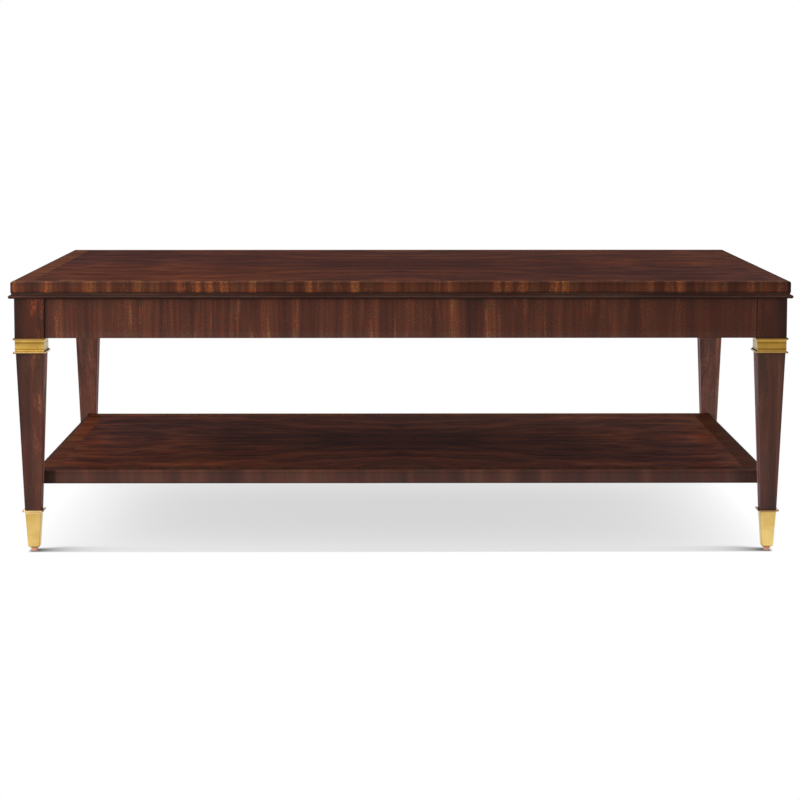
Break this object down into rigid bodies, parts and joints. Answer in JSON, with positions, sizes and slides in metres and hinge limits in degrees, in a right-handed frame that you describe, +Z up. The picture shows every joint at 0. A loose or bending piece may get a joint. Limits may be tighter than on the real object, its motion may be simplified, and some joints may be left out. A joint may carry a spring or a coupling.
{
  "type": "coffee table",
  "caption": "Rectangular coffee table with a crossbanded top, bead moulding, tapered legs with brass collars and ferrules, and a lower shelf.",
  "frame": {"origin": "on the floor, under the middle of the table", "axes": "+X to the right along the long side, +Y from the front to the back, +Z up"},
  "size_m": [1.372, 0.813, 0.482],
  "materials": {
    "top_field": "matched ribbon mahogany veneer, satin lacquer",
    "top_band": "crossbanded mahogany veneer, satin lacquer",
    "top_edge": "cross-grained mahogany edge with orange flecks, satin lacquer",
    "moulding": "dark mahogany bead moulding, satin lacquer",
    "apron": "upright ribbon-stripe mahogany, satin lacquer",
    "leg": "mahogany, satin lacquer",
    "shelf_field": "matched ribbon mahogany veneer, satin lacquer",
    "shelf_band": "crossbanded mahogany veneer, satin lacquer",
    "shelf_edge": "cross-grained mahogany edge, satin lacquer",
    "panel_core": "plain core board",
    "backing_veneer": "plain straight-grained veneer, sealed",
    "hidden_timber": "planed unfinished hardwood",
    "dowel": "beech dowel",
    "brass": "satin brass",
    "nylon": "pinkish tan nylon",
    "steel": "zinc-plated steel"
  },
  "bodies": {
    "root": {"top_core": "panel_core", "top_backing_veneer": "backing_veneer", "top_leaf_front_left": "top_field", "top_leaf_front_right": "top_field", "top_leaf_back_left": "top_field", "top_leaf_back_right": "top_field", "top_band_front": "top_band", "top_band_back": "top_band", "top_band_left": "top_band", "top_band_right": "top_band", "top_lipping_front": "top_edge", "top_lipping_back": "top_edge", "top_lipping_left": "top_edge", "top_lipping_right": "top_edge", "moulding_front": "moulding", "moulding_back": "moulding", "moulding_left": "moulding", "moulding_right": "moulding", "apron_front": "apron", "apron_back": "apron", "apron_left": "apron", "apron_right": "apron", "cross_rail": "hidden_timber", "corner_block_front_left": "hidden_timber", "corner_block_front_right": "hidden_timber", "corner_block_back_left": "hidden_timber", "corner_block_back_right": "hidden_timber", "leg_front_left": "leg", "leg_front_right": "leg", "leg_back_left": "leg", "leg_back_right": "leg", "collar_front_left": "brass", "collar_front_right": "brass", "collar_back_left": "brass", "collar_back_right": "brass", "ferrule_front_left": "brass", "ferrule_front_right": "brass", "ferrule_back_left": "brass", "ferrule_back_right": "brass", "glide_front_left": "nylon", "glide_front_right": "nylon", "glide_back_left": "nylon", "glide_back_right": "nylon", "glide_nails": "steel", "shelf_core": "panel_core", "shelf_backing_veneer": "backing_veneer", "shelf_leaf_front_left": "shelf_field", "shelf_leaf_front_right": "shelf_field", "shelf_leaf_back_left": "shelf_field", "shelf_leaf_back_right": "shelf_field", "shelf_band_front": "shelf_band", "shelf_band_back": "shelf_band", "shelf_band_left": "shelf_band", "shelf_band_right": "shelf_band", "shelf_lipping_front": "shelf_edge", "shelf_lipping_back": "shelf_edge", "shelf_lipping_left": "shelf_edge", "shelf_lipping_right": "shelf_edge", "shelf_dowels": "dowel", "wood_screws": "steel"}
  },
  "joints": []
}
